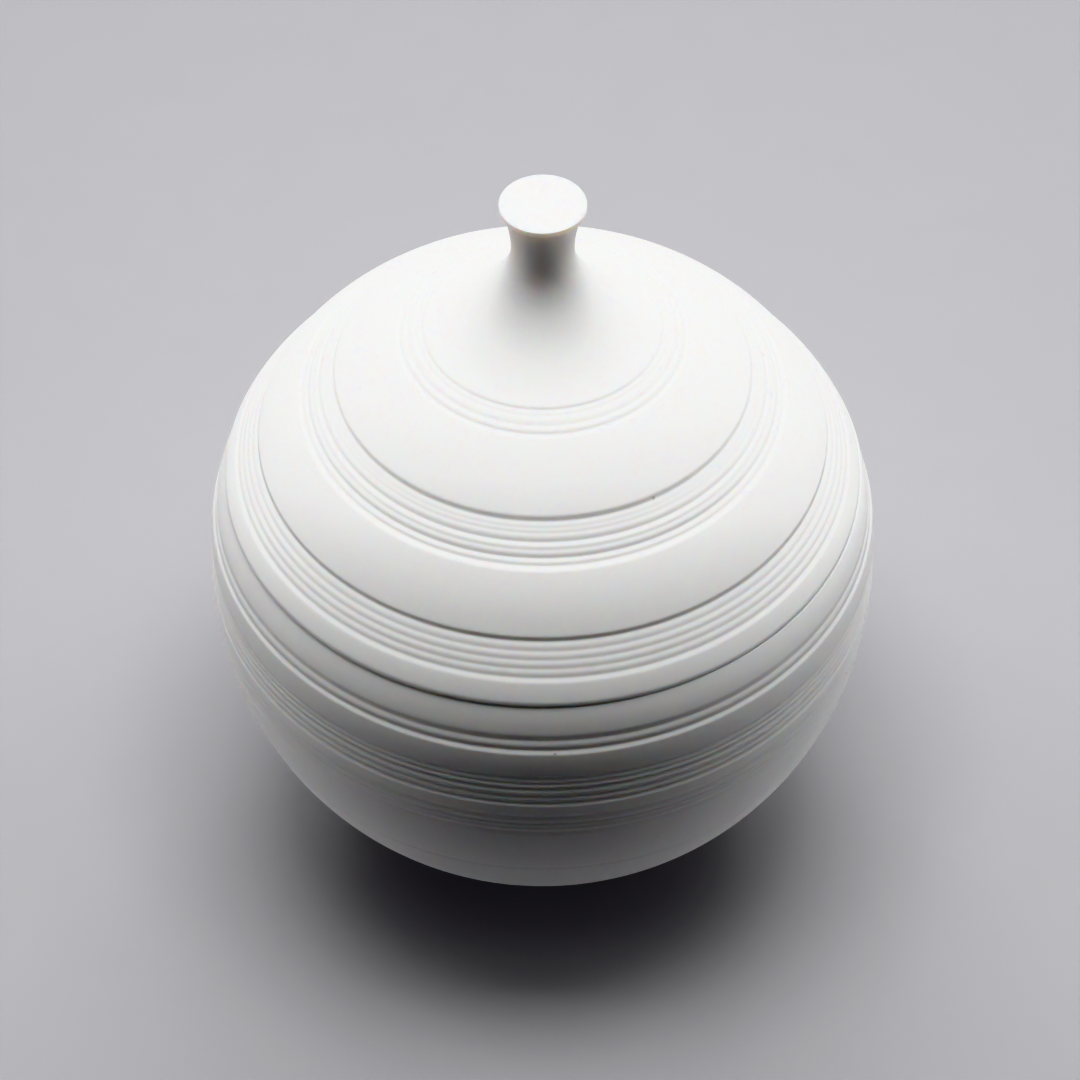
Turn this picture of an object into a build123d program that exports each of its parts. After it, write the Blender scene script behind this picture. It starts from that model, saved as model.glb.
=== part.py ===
from build123d import *
import os
from dataclasses import dataclass
from math import cos, radians, sin, sqrt

# A round porcelain jar with a domed lid and a waisted knob, thrown and turned on one vertical axis.
# Everything is a body of revolution about Z. The foot stands on the plane z = 0.
# Millimetres. Angles are polar angles in degrees, seen from the belly's centre, from straight up.

# ---- Belly -----------------------------------------------------------------------------------
BELLY_RADIUS = 75.0
CENTRE_HEIGHT = 73.0
WALL = 4.0
FLOOR_UNDERSIDE = 2.9
FLOOR_TOP = 7.5

# ---- Seam between the jar and its lid ---------------------------------------------------------
SEAT_HEIGHT = CENTRE_HEIGHT + 30.7
EDGE_ROUND = 0.6
RIM_ROUND = 0.7
MOUTH_RADIUS = 64.2

# ---- Lid, its locating ring and its knob ------------------------------------------------------
LID_INSIDE_RADIUS = 65.7
LID_INSIDE_HEIGHT = CENTRE_HEIGHT + 74.5
RING_PLAY = 0.8
RING_WALL = 3.0
RING_DROP = 7.7
RING_CLIMB = 4.6
RING_LIFT = 0.5
RING_ROUND = 1.0

NECK_RADIUS = 6.7
NECK_HEIGHT = CENTRE_HEIGHT + 95.5
NECK_SWEEP_RADIUS = 11.5
NECK_SWEEP_TURN = radians(27.5)
KNOB_JOINT_HEIGHT = CENTRE_HEIGHT + 86
KNOB_HEIGHT = CENTRE_HEIGHT + 107.3
KNOB_RADIUS = 9.05
KNOB_RIM_THICKNESS = 1.3
KNOB_RIM_UNDERCUT = 0.35

# ---- Foot ring ----------------------------------------------------------------------------------
FOOT_OUTSIDE = 31.5
FOOT_INSIDE = 27.0
FOOT_TAPER = 0.5
FOOT_ROUND = 0.8


@dataclass
class Strip:
    """A smooth band of the outside, swelling gently between its two edges."""

    start: float
    end: float
    start_radius: float
    end_radius: float
    swell: float


@dataclass
class Ribs:
    """A band of fine turned beads, with a groove cut this deep below their crests on each side of a bead."""

    grooves: tuple
    depths: tuple
    first_radius: float
    last_radius: float


# The outside from the crown down to the seam, and from the seam down to the foot.
LID_BANDS = [
    Strip(17.6, 19.0, 78.25, 78.0, 0.0),
    Ribs((19.3, 20.2, 21.9, 23.2), (0.2, 0.15, 0.25, 0.4), 77.75, 77.3),
    Strip(23.8, 36.0, 77.3, 76.0, 0.10),
    Ribs((36.7, 37.8, 38.6, 40.0, 41.2, 42.5, 43.7), (0.1, 0.05, 0.08, 0.3, 0.12, 0.32, 0.12), 75.5, 75.2),
    Strip(44.5, 54.9, 75.6, 75.95, 0.15),
    Ribs((55.6, 57.2, 58.6, 60.0, 61.4), (0.15, 0.15, 0.15, 0.15, 0.16), 75.6, 76.35),
    Strip(62.2, 65.7, 76.6, 76.95, 0.05),
]
JAR_BANDS = [
    Strip(66.9, 71.5, 76.35, 76.4, 0.1),
    Ribs((72.6, 74.4), (0.28, 0.2), 76.3, 76.1),
    Strip(75.2, 79.9, 76.3, 75.65, 0.10),
    Ribs((80.6, 81.9, 83.1, 85.0, 86.5), (0.25, 0.35, 0.45, 0.4, 0.35), 75.45, 75.0),
    Strip(87.2, 89.3, 75.1, 75.1, 0.02),
    Ribs((90.3, 92.1, 93.0, 94.5), (0.25, 0.3, 0.25, 0.2), 75.0, 74.8),
    Strip(95.4, 107.4, 74.9, 74.9, 0.10),
    Ribs((108.0,), (0.15,), 74.85, 74.85),
    Strip(108.8, 130.0, 74.9, 75.0, 0.10),
]


def polar(angle, radius):
    """The profile point (distance from the axis, height) at a polar angle from the belly's centre."""
    return (radius * sin(radians(angle)), CENTRE_HEIGHT + radius * cos(radians(angle)))


def belly_height_below(radius):
    """Height of the belly's sphere at this distance from the axis, on its lower half."""
    return CENTRE_HEIGHT - sqrt(BELLY_RADIUS**2 - radius**2)


def between(first, last, share):
    """The value that lies this share of the way from the first to the last."""
    return first + (last - first) * share


def strip_edge(strip):
    """One long arc over the strip, through its swollen middle."""
    middle_angle = (strip.start + strip.end) / 2
    middle_radius = (strip.start_radius + strip.end_radius) / 2 + strip.swell
    return [
        ThreePointArc(
            polar(strip.start, strip.start_radius),
            polar(middle_angle, middle_radius),
            polar(strip.end, strip.end_radius),
        )
    ]


def crest_radius(ribs, angle):
    """Radius of the line over the crests at this angle. A lone groove has no span to divide by."""
    span = max(ribs.grooves[-1] - ribs.grooves[0], 1)
    return between(ribs.first_radius, ribs.last_radius, (angle - ribs.grooves[0]) / span)


def rib_edges(ribs):
    """One small arc for each bead, from groove to groove over its crest."""
    bottoms = [polar(g, crest_radius(ribs, g) - depth) for g, depth in zip(ribs.grooves, ribs.depths)]
    edges = []
    for i, (here, there) in enumerate(zip(ribs.grooves, ribs.grooves[1:])):
        middle = (here + there) / 2
        edges.append(ThreePointArc(bottoms[i], polar(middle, crest_radius(ribs, middle)), bottoms[i + 1]))
    return edges


def first_point(band):
    """Where a band begins, at its upper edge."""
    if isinstance(band, Strip):
        return polar(band.start, band.start_radius)
    return polar(band.grooves[0], band.first_radius - band.depths[0])


def last_point(band):
    """Where a band ends, at its lower edge."""
    if isinstance(band, Strip):
        return polar(band.end, band.end_radius)
    return polar(band.grooves[-1], crest_radius(band, band.grooves[-1]) - band.depths[-1])


def outside_edges(bands):
    """The turned outside: each band's own arcs, and a short step from one band to the next."""
    edges = []
    for band, following in zip(bands, bands[1:] + [None]):
        edges += strip_edge(band) if isinstance(band, Strip) else rib_edges(band)
        if following:
            edges.append(Line(last_point(band), first_point(following)))
    return edges


def revolved(edges):
    """A solid of revolution about Z from a closed profile of (distance, height) edges."""
    outline = Wire(edges)
    face = Face(Plane.XZ * outline)
    return revolve(face, Axis.Z, 360)


def corners(*points):
    """Straight edges through these profile points."""
    return [Line(a, b) for a, b in zip(points, points[1:])]


def neck_sweep_point(turn):
    """A point of the tight arc under the neck, after this much turn from upright."""
    out = NECK_SWEEP_RADIUS * (1 - cos(turn))
    return (NECK_RADIUS + out, NECK_HEIGHT - NECK_SWEEP_RADIUS * sin(turn))


def wide_sweep_point(height):
    """A point of the wide arc, which leaves the tight arc in line and runs out onto the lid's first band."""
    middle = Vector(*neck_sweep_point(NECK_SWEEP_TURN))
    across = Vector(*first_point(LID_BANDS[0])) - middle
    outward = Vector(cos(NECK_SWEEP_TURN), sin(NECK_SWEEP_TURN))
    radius = across.dot(across) / (2 * across.dot(outward))
    centre = middle + outward * radius
    return (centre.X - sqrt(radius**2 - (centre.Y - height) ** 2), height)


def lid_inside_arc_centre():
    """Height of the centre of the lid's inside arc, which passes its rim and its crown."""
    rim = SEAT_HEIGHT
    top = LID_INSIDE_HEIGHT
    return (top**2 - rim**2 - LID_INSIDE_RADIUS**2) / (2 * (top - rim))


def lid_inside_point(height):
    """A point of the lid's inside at this height."""
    centre = lid_inside_arc_centre()
    return (sqrt((LID_INSIDE_HEIGHT - centre) ** 2 - (height - centre) ** 2), height)


def rounded(wide, narrow):
    """The middle of a rounded edge between a point on the wide outside and one on the flat seat."""
    corner = (wide[0], narrow[1])
    middle = ((wide[0] + narrow[0]) / 2, (wide[1] + narrow[1]) / 2)
    pull = sqrt(2) - 1
    return (between(middle[0], corner[0], pull), between(middle[1], corner[1], pull))


def make_lid_dome():
    """The lid's shell: turned outside, smooth inside, a flat seat round its rim and a flat for the knob."""
    crown_end = first_point(LID_BANDS[0])
    joint = wide_sweep_point(KNOB_JOINT_HEIGHT)
    sweep_middle = wide_sweep_point((KNOB_JOINT_HEIGHT + crown_end[1]) / 2)
    rim = last_point(LID_BANDS[-1])
    seat_outside = (rim[0] - RIM_ROUND, SEAT_HEIGHT)
    seat_inside = lid_inside_point(SEAT_HEIGHT)
    shoulder = lid_inside_point((SEAT_HEIGHT + LID_INSIDE_HEIGHT) / 2)
    edges = [
        Line((0, KNOB_JOINT_HEIGHT), joint),
        ThreePointArc(joint, sweep_middle, crown_end),
        *outside_edges(LID_BANDS),
        ThreePointArc(rim, rounded(rim, seat_outside), seat_outside),
        Line(seat_outside, seat_inside),
        ThreePointArc(seat_inside, shoulder, (0, LID_INSIDE_HEIGHT)),
        Line((0, LID_INSIDE_HEIGHT), (0, KNOB_JOINT_HEIGHT)),
    ]
    return revolved(edges)


def make_knob():
    """The knob: a waisted stem between two sweeps, under a flat round top with a thin rim."""
    joint = wide_sweep_point(KNOB_JOINT_HEIGHT)
    foot = neck_sweep_point(NECK_SWEEP_TURN)
    neck = (NECK_RADIUS, NECK_HEIGHT)
    under_rim = (KNOB_RADIUS - KNOB_RIM_UNDERCUT, KNOB_HEIGHT - KNOB_RIM_THICKNESS)
    flare_rise = under_rim[1] - NECK_HEIGHT
    flare_out = under_rim[0] - NECK_RADIUS
    flare_radius = (flare_rise**2 + flare_out**2) / (2 * flare_out)
    middle_rise = flare_rise / 2
    flare_middle = (
        NECK_RADIUS + flare_radius - sqrt(flare_radius**2 - middle_rise**2),
        NECK_HEIGHT + middle_rise,
    )
    rim_middle = (KNOB_RADIUS, KNOB_HEIGHT - KNOB_RIM_THICKNESS / 2)
    top_edge = (KNOB_RADIUS - KNOB_RIM_UNDERCUT, KNOB_HEIGHT)
    edges = [
        Line((0, KNOB_JOINT_HEIGHT), joint),
        ThreePointArc(joint, wide_sweep_point((KNOB_JOINT_HEIGHT + foot[1]) / 2), foot),
        ThreePointArc(foot, neck_sweep_point(NECK_SWEEP_TURN / 2), neck),
        ThreePointArc(neck, flare_middle, under_rim),
        ThreePointArc(under_rim, rim_middle, top_edge),
        Line(top_edge, (0, KNOB_HEIGHT)),
        Line((0, KNOB_HEIGHT), (0, KNOB_JOINT_HEIGHT)),
    ]
    return revolved(edges)


def make_locating_ring():
    """The ring under the lid: a strip of clay held to the lid's inside that hangs into the jar's mouth."""
    outside = MOUTH_RADIUS - RING_PLAY
    inside = outside - RING_WALL
    bottom = SEAT_HEIGHT - RING_DROP
    shelf = SEAT_HEIGHT + RING_LIFT
    top = SEAT_HEIGHT + RING_CLIMB
    edges = [
        *corners((inside, bottom), (outside, bottom), (outside, shelf), lid_inside_point(shelf)),
        ThreePointArc(
            lid_inside_point(shelf),
            lid_inside_point((shelf + top) / 2),
            lid_inside_point(top),
        ),
        *corners(lid_inside_point(top), (inside, top - RING_WALL / 2), (inside, bottom)),
    ]
    ring = revolved(edges)
    low_edges = ring.edges().group_by(Axis.Z)[0]
    return fillet(low_edges, RING_ROUND)


def make_jar_body():
    """The jar: a turned near-sphere, open at the top, with a flat seat round its mouth and a flat floor."""
    rim = first_point(JAR_BANDS[0])
    seat_outside = (rim[0] - EDGE_ROUND, SEAT_HEIGHT)
    turned_end = last_point(JAR_BANDS[-1])
    floor_edge = sqrt(BELLY_RADIUS**2 - (CENTRE_HEIGHT - FLOOR_UNDERSIDE) ** 2)
    inner = BELLY_RADIUS - WALL
    inner_floor_edge = sqrt(inner**2 - (CENTRE_HEIGHT - FLOOR_TOP) ** 2)
    lip = (MOUTH_RADIUS, SEAT_HEIGHT)
    inner_top_height = CENTRE_HEIGHT + sqrt(inner**2 - MOUTH_RADIUS**2)
    low_middle = (floor_edge + turned_end[0]) / 2
    edges = [
        Line((0, FLOOR_TOP), (0, FLOOR_UNDERSIDE)),
        Line((0, FLOOR_UNDERSIDE), (floor_edge, FLOOR_UNDERSIDE)),
        ThreePointArc(
            (floor_edge, FLOOR_UNDERSIDE),
            (low_middle, belly_height_below(low_middle)),
            turned_end,
        ),
        *outside_edges(JAR_BANDS),
        ThreePointArc(rim, rounded(rim, seat_outside), seat_outside),
        Line(seat_outside, lip),
        Line(lip, (MOUTH_RADIUS, inner_top_height)),
        ThreePointArc(
            (MOUTH_RADIUS, inner_top_height),
            (inner, CENTRE_HEIGHT),
            (inner_floor_edge, FLOOR_TOP),
        ),
        Line((inner_floor_edge, FLOOR_TOP), (0, FLOOR_TOP)),
    ]
    return revolved(edges)


def make_foot_ring():
    """The foot: a low tapered ring that meets the belly along its sphere and stands on z = 0."""
    outer_top = (FOOT_OUTSIDE, belly_height_below(FOOT_OUTSIDE))
    inner_top = (FOOT_INSIDE, belly_height_below(FOOT_INSIDE))
    middle = (FOOT_OUTSIDE + FOOT_INSIDE) / 2
    edges = [
        ThreePointArc(inner_top, (middle, belly_height_below(middle)), outer_top),
        *corners(outer_top, (FOOT_OUTSIDE - FOOT_TAPER, 0), (FOOT_INSIDE + FOOT_TAPER, 0), inner_top),
    ]
    ring = revolved(edges)
    low_edges = ring.edges().group_by(Axis.Z)[0]
    return fillet(low_edges, FOOT_ROUND)


PARTS = {
    "jar_body": make_jar_body,
    "foot_ring": make_foot_ring,
    "lid_dome": make_lid_dome,
    "locating_ring": make_locating_ring,
    "lid_knob": make_knob,
}

os.makedirs("parts", exist_ok=True)
for name, make in PARTS.items():
    export_step(make(), f"parts/{name}.step")
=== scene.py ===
from dataclasses import dataclass
from math import cos, pi, radians, sin, sqrt

import bmesh
import bpy
import numpy as np
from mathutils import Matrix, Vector


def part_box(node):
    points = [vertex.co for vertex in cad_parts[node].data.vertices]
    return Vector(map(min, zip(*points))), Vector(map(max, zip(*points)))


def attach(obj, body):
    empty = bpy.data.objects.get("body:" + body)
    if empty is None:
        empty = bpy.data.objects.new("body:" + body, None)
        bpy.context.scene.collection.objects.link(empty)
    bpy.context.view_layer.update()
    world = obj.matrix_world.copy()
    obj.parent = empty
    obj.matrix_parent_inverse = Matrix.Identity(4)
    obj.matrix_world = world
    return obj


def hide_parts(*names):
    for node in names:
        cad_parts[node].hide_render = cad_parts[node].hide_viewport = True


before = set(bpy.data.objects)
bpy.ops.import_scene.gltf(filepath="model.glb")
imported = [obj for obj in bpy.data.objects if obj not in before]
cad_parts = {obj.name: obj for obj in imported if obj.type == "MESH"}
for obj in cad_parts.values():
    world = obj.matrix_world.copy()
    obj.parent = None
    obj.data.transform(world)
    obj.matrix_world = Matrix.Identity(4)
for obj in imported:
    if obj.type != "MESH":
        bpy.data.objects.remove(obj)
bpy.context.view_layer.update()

# A round porcelain jar with a lift-off lid. Every piece is turned on the Z axis.
# Metres. Angles are polar angles in degrees, seen from the belly's centre, from straight up.
MM = 0.001

# ---- Sizes that the frame gives ------------------------------------------------------------------
FLOOR_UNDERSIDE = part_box("jar_body")[0].z
SEAT_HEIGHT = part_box("jar_body")[1].z
KNOB_JOINT_HEIGHT, KNOB_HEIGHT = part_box("lid_knob")[0].z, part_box("lid_knob")[1].z
RING_BOTTOM, RING_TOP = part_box("locating_ring")[0].z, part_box("locating_ring")[1].z
FOOT_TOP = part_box("foot_ring")[1].z

# ---- Sizes repeated from the part ---------------------------------------------------------------
BELLY_RADIUS = 75 * MM
CENTRE_HEIGHT = 73 * MM
WALL = 4 * MM
FLOOR_TOP = 7.5 * MM
EDGE_ROUND = 0.6 * MM
RIM_ROUND = 0.7 * MM
MOUTH_RADIUS = 64.2 * MM
LID_INSIDE_RADIUS = 65.7 * MM
LID_INSIDE_HEIGHT = CENTRE_HEIGHT + 74.5 * MM
RING_PLAY = 0.8 * MM
RING_WALL = 3 * MM
RING_LIFT = 0.5 * MM
NECK_RADIUS = 6.7 * MM
NECK_HEIGHT = CENTRE_HEIGHT + 95.5 * MM
NECK_SWEEP_RADIUS = 11.5 * MM
NECK_SWEEP_TURN = radians(27.5)
KNOB_RADIUS = 9.05 * MM
KNOB_RIM_THICKNESS = 1.3 * MM
KNOB_RIM_UNDERCUT = 0.35 * MM
FOOT_OUTSIDE = 31.5 * MM
FOOT_INSIDE = 27 * MM
FOOT_TAPER = 0.5 * MM
FOOT_ROUND = 0.8 * MM

# ---- The jar's shoulder fired a little wide of the lid, least where the lid leans towards ----------
SHOULDER_SPREAD = 0.3 * MM
SHOULDER_LEAN = 0.45 * MM
LEAN_DIRECTION = radians(-150)
SPREAD_DEPTH = 5 * MM
SPREAD_INSIDE = 66 * MM
SPREAD_OUTSIDE = 69 * MM

# ---- Roundings of the turned edges ------------------------------------------------------------------
MOUTH_ROUND = 0.5 * MM
RING_ROUND = 1.0 * MM
KNOB_TOP_ROUND = 0.45 * MM
KNOB_UNDER_ROUND = 0.3 * MM
LONGEST_CUT = 0.45          # a rounding takes at most this share of either edge beside it

# ---- How finely the pieces are turned -------------------------------------------------------------
ROUND_STEPS = 256           # round the axis
ARCH_STEPS = 16             # along a bead or a strip, before it is softened
CORNER_STEPS = 6
CROWN_STEPS = 20
INSIDE_STEPS = 40
KNOB_TOP_STEPS = 16
FLARE_STEPS = 24
NECK_SWEEP_STEPS = 14
WIDE_SWEEP_STEPS = 10
JOINT_STEPS = 2
FLOOR_STEPS = 8
BASE_STEPS = 24
FINE_STEP = 0.02            # degrees between the points that are softened
SOFTENING = 0.14            # degrees that the blur spreads an edge by
BLUR_REACH = 4              # spreads at which the blur has died away
BAND_STEP = 0.16            # degrees between kept points where the outside bends
CALM_STEP = 0.8             # degrees between kept points elsewhere
LIVELY_BEND = 0.03          # millimetres per square degree, above which the outside bends
SHARP_CORNER = radians(30)
SUPPORT = 0.02 * MM         # from a sharp corner to the points that keep it crisp
SAME_POINT = 0.004 * MM     # two points that are closer than this are one
ON_AXIS = 0.01 * MM         # a smaller radius than this is on the axis


@dataclass
class Strip:
    """A smooth band of the outside, swelling gently between its two edges."""

    start: float
    end: float
    start_radius: float
    end_radius: float
    swell: float


@dataclass
class Ribs:
    """A band of fine turned beads between grooves, each groove with its own depth below the crests."""

    grooves: tuple
    depths: tuple
    first_radius: float
    last_radius: float


# The bands' places are in degrees, and their radii, swells and depths in millimetres.
LID_BANDS = [
    Strip(17.6, 19.0, 78.25, 78.0, 0.0),
    Ribs((19.3, 20.2, 21.9, 23.2), (0.2, 0.15, 0.25, 0.4), 77.75, 77.3),
    Strip(23.8, 36.0, 77.3, 76.0, 0.10),
    Ribs(
        (36.7, 37.8, 38.6, 40.0, 41.2, 42.5, 43.7),
        (0.1, 0.05, 0.08, 0.3, 0.12, 0.32, 0.12),
        75.5, 75.2,
    ),
    Strip(44.5, 54.9, 75.6, 75.95, 0.15),
    Ribs((55.6, 57.2, 58.6, 60.0, 61.4), (0.15, 0.15, 0.15, 0.15, 0.16), 75.6, 76.35),
    Strip(62.2, 65.7, 76.6, 76.95, 0.05),
]
JAR_BANDS = [
    Strip(66.9, 71.5, 76.35, 76.4, 0.1),
    Ribs((72.6, 74.4), (0.28, 0.2), 76.3, 76.1),
    Strip(75.2, 79.9, 76.3, 75.65, 0.10),
    Ribs((80.6, 81.9, 83.1, 85.0, 86.5), (0.25, 0.35, 0.45, 0.4, 0.35), 75.45, 75.0),
    Strip(87.2, 89.3, 75.1, 75.1, 0.02),
    Ribs((90.3, 92.1, 93.0, 94.5), (0.25, 0.3, 0.25, 0.2), 75.0, 74.8),
    Strip(95.4, 107.4, 74.9, 74.9, 0.10),
    Ribs((108.0,), (0.15,), 74.85, 74.85),
    Strip(108.8, 130.0, 74.9, 75.0, 0.10),
]


# ---- Profiles: lists of (distance from the axis, height) ------------------------------------------
def polar(angle, radius):
    """The profile point at a polar angle from the belly's centre."""
    return (radius * sin(radians(angle)), CENTRE_HEIGHT + radius * cos(radians(angle)))


def bow(share):
    """A shallow arch: nothing at both ends and 1 in the middle."""
    return 4 * share * (1 - share)


def band_outline(band):
    """(angle, radius) along a band: one shallow arch for a strip, and one for each bead of ribs."""
    if isinstance(band, Strip):
        feet = [(band.start, band.start_radius), (band.end, band.end_radius)]
        rises = [band.swell]
    else:
        ends = (band.grooves[0], band.grooves[-1])
        crests = np.interp(band.grooves, ends, (band.first_radius, band.last_radius))
        feet = list(zip(band.grooves, crests - np.array(band.depths)))
        rises = [(one + other) / 2 for one, other in zip(band.depths, band.depths[1:])]
    points = [feet[0]]
    for (here, low), (there, high), rise in zip(feet, feet[1:], rises):
        for share in np.linspace(0, 1, ARCH_STEPS + 1)[1:]:
            angle = here + (there - here) * share
            points.append((angle, low + (high - low) * share + rise * bow(share)))
    return points


def softened(radii):
    """Radii at fine even steps, blurred as a wet sponge rounds every edge and groove."""
    reach = round(BLUR_REACH * SOFTENING / FINE_STEP)
    offsets = np.arange(-reach, reach + 1) * FINE_STEP
    weights = np.exp(-0.5 * (offsets / SOFTENING) ** 2)
    padded = np.pad(radii, reach, mode="reflect", reflect_type="odd")
    return np.convolve(padded, weights / weights.sum(), mode="valid")


def turned_outside(bands):
    """The outside of these bands from top to bottom, with close points only where it bends."""
    angles, radii = zip(*[point for band in bands for point in band_outline(band)])
    fine = np.arange(angles[0], angles[-1] + FINE_STEP / 2, FINE_STEP)
    soft = softened(np.interp(fine, angles, radii))
    bend = np.abs(np.gradient(np.gradient(soft, fine), fine))
    kept = [0]
    for i in range(1, len(fine)):
        lively = bend[kept[-1]:i + 1].max() > LIVELY_BEND
        if fine[i] - fine[kept[-1]] >= (BAND_STEP if lively else CALM_STEP):
            kept.append(i)
    kept[-1] = len(fine) - 1
    return [polar(fine[i], soft[i] * MM) for i in kept]


def arc(start, end, centre, steps):
    """Points along the shorter arc about centre from start to end."""
    first = np.arctan2(start[1] - centre[1], start[0] - centre[0])
    last = np.arctan2(end[1] - centre[1], end[0] - centre[0])
    sweep = (last - first + pi) % (2 * pi) - pi
    first_radius = np.hypot(start[0] - centre[0], start[1] - centre[1])
    last_radius = np.hypot(end[0] - centre[0], end[1] - centre[1])
    points = []
    for i in range(steps + 1):
        share = i / steps
        radius = first_radius + (last_radius - first_radius) * share
        angle = first + sweep * share
        points.append((centre[0] + radius * cos(angle), centre[1] + radius * sin(angle)))
    return points


def straight(start, end, steps):
    """Evenly spaced points from start to end."""
    across, up = end[0] - start[0], end[1] - start[1]
    return [(start[0] + across * i / steps, start[1] + up * i / steps) for i in range(steps + 1)]


def rounded_corners(corners, radius):
    """A path through corners, with each inner corner rounded by this radius."""
    path = [corners[0]]
    for before, corner, after in zip(corners, corners[1:], corners[2:]):
        here = Vector(corner)
        back, onward = Vector(before) - here, Vector(after) - here
        into, out = back.normalized(), onward.normalized()
        half = into.angle(out) / 2
        cut = min(radius / np.tan(half), LONGEST_CUT * back.length, LONGEST_CUT * onward.length)
        centre = here + (into + out).normalized() * (cut * np.tan(half) / np.sin(half))
        path += arc(tuple(here + into * cut), tuple(here + out * cut), tuple(centre), CORNER_STEPS)
    return path + [corners[-1]]


def sweep_middle():
    """Where the tight arc under the neck meets the wide arc that runs out onto the crown."""
    out = NECK_SWEEP_RADIUS * (1 - cos(NECK_SWEEP_TURN))
    return (NECK_RADIUS + out, NECK_HEIGHT - NECK_SWEEP_RADIUS * sin(NECK_SWEEP_TURN))


def wide_sweep():
    """The wide arc's centre and radius: it leaves the tight arc in line and ends at the first band."""
    middle = Vector(sweep_middle())
    across = Vector(polar(LID_BANDS[0].start, LID_BANDS[0].start_radius * MM)) - middle
    outward = Vector((cos(NECK_SWEEP_TURN), sin(NECK_SWEEP_TURN)))
    radius = across.length_squared / (2 * across.dot(outward))
    return middle + outward * radius, radius


def joint_point():
    """The outer edge of the flat joint between the lid and its knob, on the wide arc."""
    centre, radius = wide_sweep()
    return (centre.x - sqrt(radius**2 - (centre.y - KNOB_JOINT_HEIGHT) ** 2), KNOB_JOINT_HEIGHT)


# ---- Turning a profile into a mesh ------------------------------------------------------------------
def without_repeats(profile):
    """The profile with points that lie on top of each other taken out."""
    kept = [profile[0]]
    for point in profile[1:]:
        if np.hypot(point[0] - kept[-1][0], point[1] - kept[-1][1]) > SAME_POINT:
            kept.append(point)
    return kept


def with_supports(profile):
    """The profile with a point close to each sharp corner on both sides, so that it stays crisp."""
    held = [profile[0]]
    for before, corner, after in zip(profile, profile[1:], profile[2:]):
        here = Vector(corner)
        back, onward = Vector(before) - here, Vector(after) - here
        if back.angle(-onward) > SHARP_CORNER:
            held.append(tuple(here + back.normalized() * SUPPORT))
            held.append(corner)
            held.append(tuple(here + onward.normalized() * SUPPORT))
        else:
            held.append(corner)
    return held + [profile[-1]]


def profile_normals(profile, closed):
    """The outward normal at each point of a profile that runs with the clay on its right."""
    points = np.array(profile)
    if closed:
        along = np.roll(points, -1, axis=0) - np.roll(points, 1, axis=0)
    else:
        along = np.gradient(points, axis=0)
        along[0] = (1, 0) if points[0][0] < ON_AXIS else along[0]
        along[-1] = (-1, 0) if points[-1][0] < ON_AXIS else along[-1]
    normals = np.stack([-along[:, 1], along[:, 0]], axis=1)
    return normals / np.linalg.norm(normals, axis=1)[:, None]


def turn(name, profile, closed=False, spread=None):
    """Turns a profile about Z, and lets spread(angle, radius, height) push it outwards.

    An open profile starts and ends on the axis. Normals come from the profile, without the spread.
    """
    profile = with_supports(without_repeats(profile))
    normals = profile_normals(profile, closed)
    work = bmesh.new()
    rings, vertex_normals = [], []
    for (radius, height), (out, up) in zip(profile, normals):
        if radius < ON_AXIS:
            rings.append([work.verts.new((0, 0, height))])
            vertex_normals.append((0, 0, 1 if up > 0 else -1))
            continue
        ring = []
        for i in range(ROUND_STEPS):
            angle = 2 * pi * i / ROUND_STEPS
            reach = radius + (spread(angle, radius, height) if spread else 0)
            ring.append(work.verts.new((reach * cos(angle), reach * sin(angle), height)))
            vertex_normals.append((out * cos(angle), out * sin(angle), up))
        rings.append(ring)
    pairs = list(zip(rings, rings[1:])) + ([(rings[-1], rings[0])] if closed else [])
    for here, there in pairs:
        for i in range(ROUND_STEPS):
            j = (i + 1) % ROUND_STEPS
            if len(here) == 1:
                work.faces.new((here[0], there[j], there[i]))
            elif len(there) == 1:
                work.faces.new((here[i], here[j], there[0]))
            else:
                work.faces.new((here[i], here[j], there[j], there[i]))
    bmesh.ops.recalc_face_normals(work, faces=work.faces)
    mesh = bpy.data.meshes.new(name)
    work.to_mesh(mesh)
    work.free()
    mesh.polygons.foreach_set("use_smooth", [True] * len(mesh.polygons))
    mesh.normals_split_custom_set_from_vertices(vertex_normals)
    piece = bpy.data.objects.new(name, mesh)
    bpy.context.scene.collection.objects.link(piece)
    return piece


# ---- The pieces ------------------------------------------------------------------------------------
def lid_inside_centre():
    """Height of the centre of the lid's inside arc, which passes its rim and its crown."""
    difference = LID_INSIDE_HEIGHT**2 - SEAT_HEIGHT**2 - LID_INSIDE_RADIUS**2
    return difference / (2 * (LID_INSIDE_HEIGHT - SEAT_HEIGHT))


def lid_inside_point(height):
    """A point of the lid's inside at this height."""
    centre = lid_inside_centre()
    return (sqrt((LID_INSIDE_HEIGHT - centre) ** 2 - (height - centre) ** 2), height)


def make_lid_dome():
    """The lid's shell: from the flat under the knob down the outside, round the rim and up inside."""
    outside = turned_outside(LID_BANDS)
    crown_end = outside[0]
    rim = outside[-1]
    seat_edge = (rim[0] - RIM_ROUND, SEAT_HEIGHT)
    inside_rim = lid_inside_point(SEAT_HEIGHT)
    profile = straight((0, KNOB_JOINT_HEIGHT), joint_point(), JOINT_STEPS)
    profile += arc(joint_point(), crown_end, wide_sweep()[0], CROWN_STEPS)
    profile += outside
    profile += rounded_corners([rim, (rim[0], SEAT_HEIGHT), seat_edge, inside_rim], RIM_ROUND)[1:]
    profile += arc(inside_rim, (0, LID_INSIDE_HEIGHT), (0, lid_inside_centre()), INSIDE_STEPS)
    return turn("lid_shell", profile)


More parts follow.
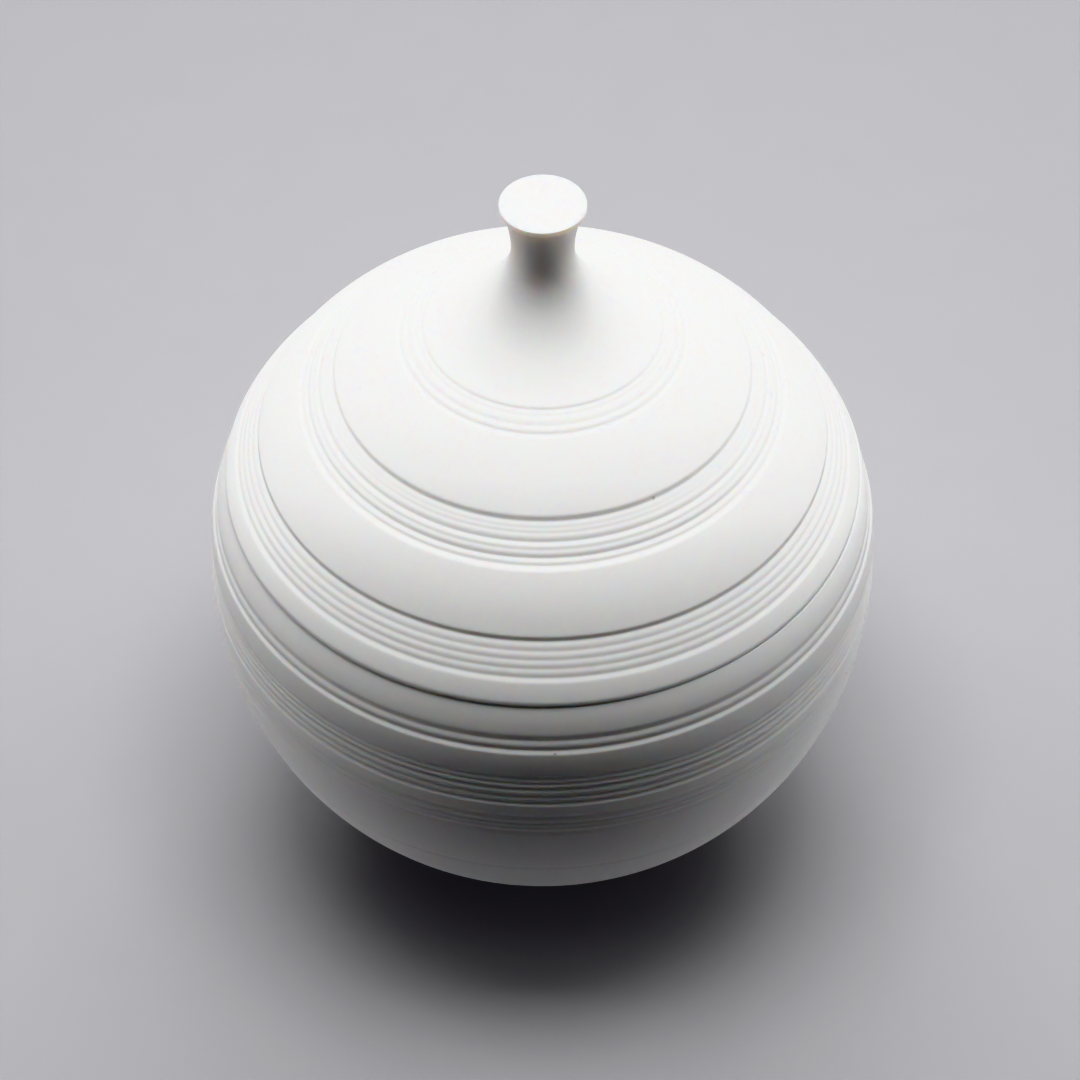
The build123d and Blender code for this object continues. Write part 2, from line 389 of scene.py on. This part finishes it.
def make_knob():
    """The knob: a waisted stem between two sweeps, under a flat round top with a thin rim."""
    under_rim = (KNOB_RADIUS - KNOB_RIM_UNDERCUT, KNOB_HEIGHT - KNOB_RIM_THICKNESS)
    rise, out = under_rim[1] - NECK_HEIGHT, under_rim[0] - NECK_RADIUS
    flare = (rise**2 + out**2) / (2 * out)
    flat = (under_rim[0] - KNOB_RIM_UNDERCUT, KNOB_HEIGHT)
    rim_middle = (KNOB_RADIUS, KNOB_HEIGHT - KNOB_RIM_THICKNESS / 2)
    neck = (NECK_RADIUS, NECK_HEIGHT)
    flare_centre = (NECK_RADIUS + flare, NECK_HEIGHT)
    neck_sweep_centre = (NECK_RADIUS + NECK_SWEEP_RADIUS, NECK_HEIGHT)
    profile = straight((0, KNOB_HEIGHT), flat, KNOB_TOP_STEPS)
    top = [profile[-1], (KNOB_RADIUS, KNOB_HEIGHT), rim_middle]
    profile += rounded_corners(top, KNOB_TOP_ROUND)[1:]
    under = [rim_middle, (KNOB_RADIUS, under_rim[1]), under_rim]
    profile += rounded_corners(under, KNOB_UNDER_ROUND)[1:]
    profile += arc(under_rim, neck, flare_centre, FLARE_STEPS)[1:]
    profile += arc(neck, sweep_middle(), neck_sweep_centre, NECK_SWEEP_STEPS)
    profile += arc(sweep_middle(), joint_point(), wide_sweep()[0], WIDE_SWEEP_STEPS)
    profile += straight(joint_point(), (0, KNOB_JOINT_HEIGHT), JOINT_STEPS)
    return turn("knob", profile)


def make_locating_ring():
    """The ring under the lid: a strip of clay on the lid's inside that hangs into the jar's mouth."""
    outside = MOUTH_RADIUS - RING_PLAY
    inside = outside - RING_WALL
    shelf = SEAT_HEIGHT + RING_LIFT
    half_way = (inside, (RING_TOP + RING_BOTTOM) / 2)
    corners = [
        half_way,
        (inside, RING_TOP - RING_WALL / 2),
        lid_inside_point(RING_TOP),
        lid_inside_point((RING_TOP + shelf) / 2),
        lid_inside_point(shelf),
        (outside, shelf),
        (outside, RING_BOTTOM),
        (inside, RING_BOTTOM),
        half_way,
    ]
    return turn("lid_ring", rounded_corners(corners, RING_ROUND)[:-1], closed=True)


def eased(value, low, high):
    """0 below low and 1 above high, with a smooth rise between."""
    share = min(max((value - low) / (high - low), 0), 1)
    return share * share * (3 - 2 * share)


def shoulder_spread(angle, radius, height):
    """How far the jar's shoulder stands out of true: only near the seam, and only outside."""
    near_seam = eased(height, SEAT_HEIGHT - SPREAD_DEPTH, SEAT_HEIGHT)
    outside = eased(radius, SPREAD_INSIDE, SPREAD_OUTSIDE)
    return near_seam * outside * (SHOULDER_SPREAD - SHOULDER_LEAN * cos(angle - LEAN_DIRECTION))


def make_jar_body():
    """The jar: from its floor up the inside, over the mouth, down the outside and underneath."""
    outside = turned_outside(JAR_BANDS)
    rim = outside[0]
    inner = BELLY_RADIUS - WALL
    inner_floor = sqrt(inner**2 - (CENTRE_HEIGHT - FLOOR_TOP) ** 2)
    inner_top = CENTRE_HEIGHT + sqrt(inner**2 - MOUTH_RADIUS**2)
    lean_in = (outside[1][0] - rim[0]) / (rim[1] - outside[1][1])
    corner = (rim[0] - lean_in * (SEAT_HEIGHT - rim[1]), SEAT_HEIGHT)
    seat_edge = (corner[0] - EDGE_ROUND, SEAT_HEIGHT)
    floor_edge = sqrt(BELLY_RADIUS**2 - (CENTRE_HEIGHT - FLOOR_UNDERSIDE) ** 2)
    profile = straight((0, FLOOR_TOP), (inner_floor, FLOOR_TOP), FLOOR_STEPS)
    profile += arc(profile[-1], (MOUTH_RADIUS, inner_top), (0, CENTRE_HEIGHT), INSIDE_STEPS)
    profile += rounded_corners([profile[-1], (MOUTH_RADIUS, SEAT_HEIGHT), seat_edge], MOUTH_ROUND)[1:]
    profile += rounded_corners([seat_edge, corner, rim], EDGE_ROUND)[1:]
    profile += outside
    profile += arc(outside[-1], (floor_edge, FLOOR_UNDERSIDE), (0, CENTRE_HEIGHT), BASE_STEPS)
    profile += straight((floor_edge, FLOOR_UNDERSIDE), (0, FLOOR_UNDERSIDE), FLOOR_STEPS)
    return turn("jar_shell", profile, spread=shoulder_spread)


def make_foot():
    """The foot: a low tapered ring that stands on the floor."""
    def belly(radius):
        return (radius, CENTRE_HEIGHT - sqrt(BELLY_RADIUS**2 - radius**2))

    half_way = (FOOT_OUTSIDE - FOOT_TAPER / 2, FOOT_TOP / 2)
    corners = [
        half_way,
        (FOOT_OUTSIDE - FOOT_TAPER, 0),
        (FOOT_INSIDE + FOOT_TAPER, 0),
        belly(FOOT_INSIDE),
        belly((FOOT_INSIDE + FOOT_OUTSIDE) / 2),
        belly(FOOT_OUTSIDE),
        half_way,
    ]
    return turn("foot", rounded_corners(corners, FOOT_ROUND)[:-1], closed=True)


# ---- Materials ---------------------------------------------------------------------------------------
CLAY_COLOURS = ((0.925, 0.922, 0.908, 1), (0.945, 0.942, 0.93, 1))
CLOUD_EDGES = (0.3, 0.7)            # of the noise, where the two colours of clay are reached
SPECK_COLOUR = (0.3, 0.26, 0.2, 1)
SPECK_STRENGTH = 0.35
SPECK_EDGES = (0.018, 0.026)        # a share of a speck's cell, from its middle
GLOW_TINT = (1.0, 0.62, 0.38)       # red light seeps farthest
GLOW_EDGES = (0.3 * MM, 2.5 * MM)   # from the knob's joint, where the glow starts and is whole
CLAY_ROUGHNESS = (0.5, 0.62)
TURNING_RELIEF = 0.03 * MM
GRAIN_RELIEF = 0.05 * MM
PAPER_COLOURS = ((0.467, 0.463, 0.481, 1), (0.477, 0.473, 0.491, 1))


def node(tree, kind, **inputs):
    """A new shader node with these inputs set. An input is named with _ for each space."""
    made = tree.nodes.new(kind)
    for name, value in inputs.items():
        made.inputs[name.replace("_", " ")].default_value = value
    return made


def link(source, output, target, entry):
    """Joins an output of one shader node to an input of another."""
    source.id_data.links.new(source.outputs[output], target.inputs[entry])


def mapped(source, output, edges, values):
    """A map range node that takes the source from one pair of values onto another."""
    ends = dict(From_Min=edges[0], From_Max=edges[1], To_Min=values[0], To_Max=values[1])
    made = node(source.id_data, "ShaderNodeMapRange", **ends)
    link(source, output, made, "Value")
    return made


def ramp_between(source, colours, edges=(0, 1)):
    """A colour ramp between two colours, driven by a noise."""
    ramp = source.id_data.nodes.new("ShaderNodeValToRGB")
    for element, colour, edge in zip(ramp.color_ramp.elements, colours, edges):
        element.position = edge
        element.color = colour
    link(source, "Fac", ramp, "Fac")
    return ramp


def glow_away_from_joint(tree, split, share):
    """How much light seeps in: none at the knob's joint, and this share a little way off it."""
    away = tree.nodes.new("ShaderNodeMath")
    away.operation = "SUBTRACT"
    away.inputs[1].default_value = KNOB_JOINT_HEIGHT
    tree.links.new(split.outputs["Z"], away.inputs[0])
    distance = tree.nodes.new("ShaderNodeMath")
    distance.operation = "ABSOLUTE"
    tree.links.new(away.outputs["Value"], distance.inputs[0])
    glow = mapped(distance, "Value", GLOW_EDGES, (0, share))
    glow.interpolation_type = "SMOOTHSTEP"
    return glow


def speckled_clay(tree, place):
    """White clay with faint clouds and a few scattered specks."""
    clouds = node(tree, "ShaderNodeTexNoise", Scale=22.0, Detail=3.0, Roughness=0.5)
    link(place, "Object", clouds, "Vector")
    specks = node(tree, "ShaderNodeTexVoronoi", Scale=55.0, Randomness=1.0)
    link(place, "Object", specks, "Vector")
    mix = tree.nodes.new("ShaderNodeMix")
    mix.data_type = "RGBA"
    mix.inputs["B"].default_value = SPECK_COLOUR
    link(mapped(specks, "Distance", SPECK_EDGES, (SPECK_STRENGTH, 0)), "Result", mix, "Factor")
    link(ramp_between(clouds, CLAY_COLOURS, CLOUD_EDGES), "Color", mix, "A")
    return mix


def fine_relief(tree, split, grain):
    """Fine turning marks round the axis, with an even grain over them."""
    height = tree.nodes.new("ShaderNodeCombineXYZ")
    link(split, "Z", height, "Z")
    turning = node(tree, "ShaderNodeTexNoise", Scale=1400.0, Detail=2.0)
    link(height, "Vector", turning, "Vector")
    marks = node(tree, "ShaderNodeBump", Strength=0.12, Distance=TURNING_RELIEF)
    link(turning, "Fac", marks, "Height")
    bump = node(tree, "ShaderNodeBump", Strength=0.04, Distance=GRAIN_RELIEF)
    link(grain, "Fac", bump, "Height")
    link(marks, "Normal", bump, "Normal")
    return bump


def porcelain_material(name, glow_depth, glow_share):
    """Unglazed, polished white porcelain.

    glow_depth is how far light seeps in, and glow_share how much of it does. None does right at the
    knob's joint, where two pieces of one clay meet and a piece on its own would look dark.
    """
    material = bpy.data.materials.new(name)
    material.use_nodes = True
    tree = material.node_tree
    shader = tree.nodes["Principled BSDF"]
    shader.inputs["IOR"].default_value = 1.5
    shader.inputs["Specular IOR Level"].default_value = 0.35
    shader.inputs["Subsurface Radius"].default_value = GLOW_TINT
    shader.inputs["Subsurface Scale"].default_value = glow_depth
    place = tree.nodes.new("ShaderNodeTexCoord")
    split = tree.nodes.new("ShaderNodeSeparateXYZ")
    link(place, "Object", split, "Vector")
    grain = node(tree, "ShaderNodeTexNoise", Scale=900.0, Detail=2.0)
    link(place, "Object", grain, "Vector")
    link(glow_away_from_joint(tree, split, glow_share), "Result", shader, "Subsurface Weight")
    link(speckled_clay(tree, place), "Result", shader, "Base Color")
    link(mapped(grain, "Fac", (0, 1), CLAY_ROUGHNESS), "Result", shader, "Roughness")
    link(fine_relief(tree, split, grain), "Normal", shader, "Normal")
    return material


def floor_material():
    """Plain pale paper."""
    material = bpy.data.materials.new("pale_paper")
    material.use_nodes = True
    tree = material.node_tree
    shader = tree.nodes["Principled BSDF"]
    shader.inputs["Roughness"].default_value = 0.9
    shader.inputs["Specular IOR Level"].default_value = 0.1
    place = tree.nodes.new("ShaderNodeTexCoord")
    fibre = node(tree, "ShaderNodeTexNoise", Scale=60.0, Detail=3.0)
    link(place, "Object", fibre, "Vector")
    link(ramp_between(fibre, PAPER_COLOURS), "Color", shader, "Base Color")
    return material


def dress(piece, material, body, nodes):
    """Gives a piece its material, its body and the CAD nodes that it stands for."""
    piece.data.materials.append(material)
    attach(piece, body)
    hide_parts(*nodes)


# ---- Floor, light and camera -------------------------------------------------------------------------
FLOOR_WIDTH = 6.0
FLOOR_FRONT = -0.17
FLOOR_BACK = 3.0
BACKGROUND = (0.43, 0.425, 0.445, 1)

# Soft panels: name, place, what each faces, width, height and radiance.
PANELS = [
    ("top_wide", (0, 0.12, 0.95), (0, 0.12, 0), 1.2, 0.5, 1.85),
    ("top_core", (0, -0.02, 0.94), (0, -0.02, 0), 0.55, 0.28, 5.6),
    ("top_front", (0, -0.3, 0.95), (0, -0.3, 0), 0.9, 0.28, 1.1),
    ("front", (0, -0.75, 0.75), (0, 0, 0.1), 0.8, 0.4, 0.08),
    ("back", (0, 0.95, 0.72), (0, 0, 0.72), 1.0, 0.45, 4.4),
    ("left", (-0.85, 0.28, 0.12), (0, 0.28, 0.12), 0.75, 0.22, 3.4),
    ("right", (0.85, 0.28, 0.12), (0, 0.28, 0.12), 0.75, 0.22, 4.0),
]


def make_floor():
    """A wide pale table top under the foot. Its front edge is a hand's width before the jar."""
    work = bmesh.new()
    half = FLOOR_WIDTH / 2
    outline = ((-half, FLOOR_FRONT), (half, FLOOR_FRONT), (half, FLOOR_BACK), (-half, FLOOR_BACK))
    work.faces.new([work.verts.new((x, y, 0)) for x, y in outline])
    mesh = bpy.data.meshes.new("floor")
    work.to_mesh(mesh)
    work.free()
    floor = bpy.data.objects.new("floor", mesh)
    floor.data.materials.append(floor_material())
    bpy.context.scene.collection.objects.link(floor)


def panel(name, place, target, width, height, radiance):
    """A soft rectangular light at a place, facing a target, as bright as this radiance all over."""
    light = bpy.data.lights.new(name, "AREA")
    light.shape = "RECTANGLE"
    light.size = width
    light.size_y = height
    light.energy = radiance * pi * width * height
    lamp = bpy.data.objects.new(name, light)
    lamp.location = place
    lamp.rotation_euler = (Vector(target) - Vector(place)).to_track_quat("-Z", "Y").to_euler()
    lamp.visible_camera = False
    bpy.context.scene.collection.objects.link(lamp)


def make_lights():
    """The soft panels, and a background that only the camera sees."""
    for details in PANELS:
        panel(*details)
    world = bpy.data.worlds.new("studio")
    world.use_nodes = True
    world.node_tree.nodes["Background"].inputs["Color"].default_value = BACKGROUND
    seen = world.cycles_visibility
    seen.diffuse = seen.glossy = seen.transmission = seen.scatter = False
    bpy.context.scene.world = world


AIM_HEIGHT = CENTRE_HEIGHT + 5.6 * MM
AIM_SIDE = -0.57 * MM
CAMERA_ELEVATION = 47.5
CAMERA_DISTANCE = 0.7283
CAMERA_LENS = 106.67
SENSOR_WIDTH = 36
NEAREST_SEEN = 0.01


def make_camera():
    """A long lens looking down at the jar."""
    camera = bpy.data.objects.new("camera", bpy.data.cameras.new("camera"))
    camera.data.lens = CAMERA_LENS
    camera.data.sensor_width = SENSOR_WIDTH
    aim = Vector((AIM_SIDE, 0, AIM_HEIGHT))
    tilt = radians(CAMERA_ELEVATION)
    camera.location = aim + CAMERA_DISTANCE * Vector((0, -cos(tilt), sin(tilt)))
    camera.rotation_euler = (aim - camera.location).to_track_quat("-Z", "Y").to_euler()
    camera.data.clip_start = NEAREST_SEEN
    bpy.context.scene.collection.objects.link(camera)
    bpy.context.scene.camera = camera


make_camera()
make_lights()
make_floor()
bpy.context.scene.view_settings.view_transform = "Khronos PBR Neutral"
bpy.context.scene.view_settings.look = "High Contrast"

porcelain = porcelain_material("porcelain", 1.2 * MM, 0.5)
slender_porcelain = porcelain_material("slender_porcelain", 2.4 * MM, 0.9)
dress(make_jar_body(), porcelain, "jar", ["jar_body"])
dress(make_foot(), porcelain, "jar", ["foot_ring"])
dress(make_lid_dome(), porcelain, "lid", ["lid_dome"])
dress(make_locating_ring(), porcelain, "lid", ["locating_ring"])
dress(make_knob(), slender_porcelain, "lid", ["lid_knob"])
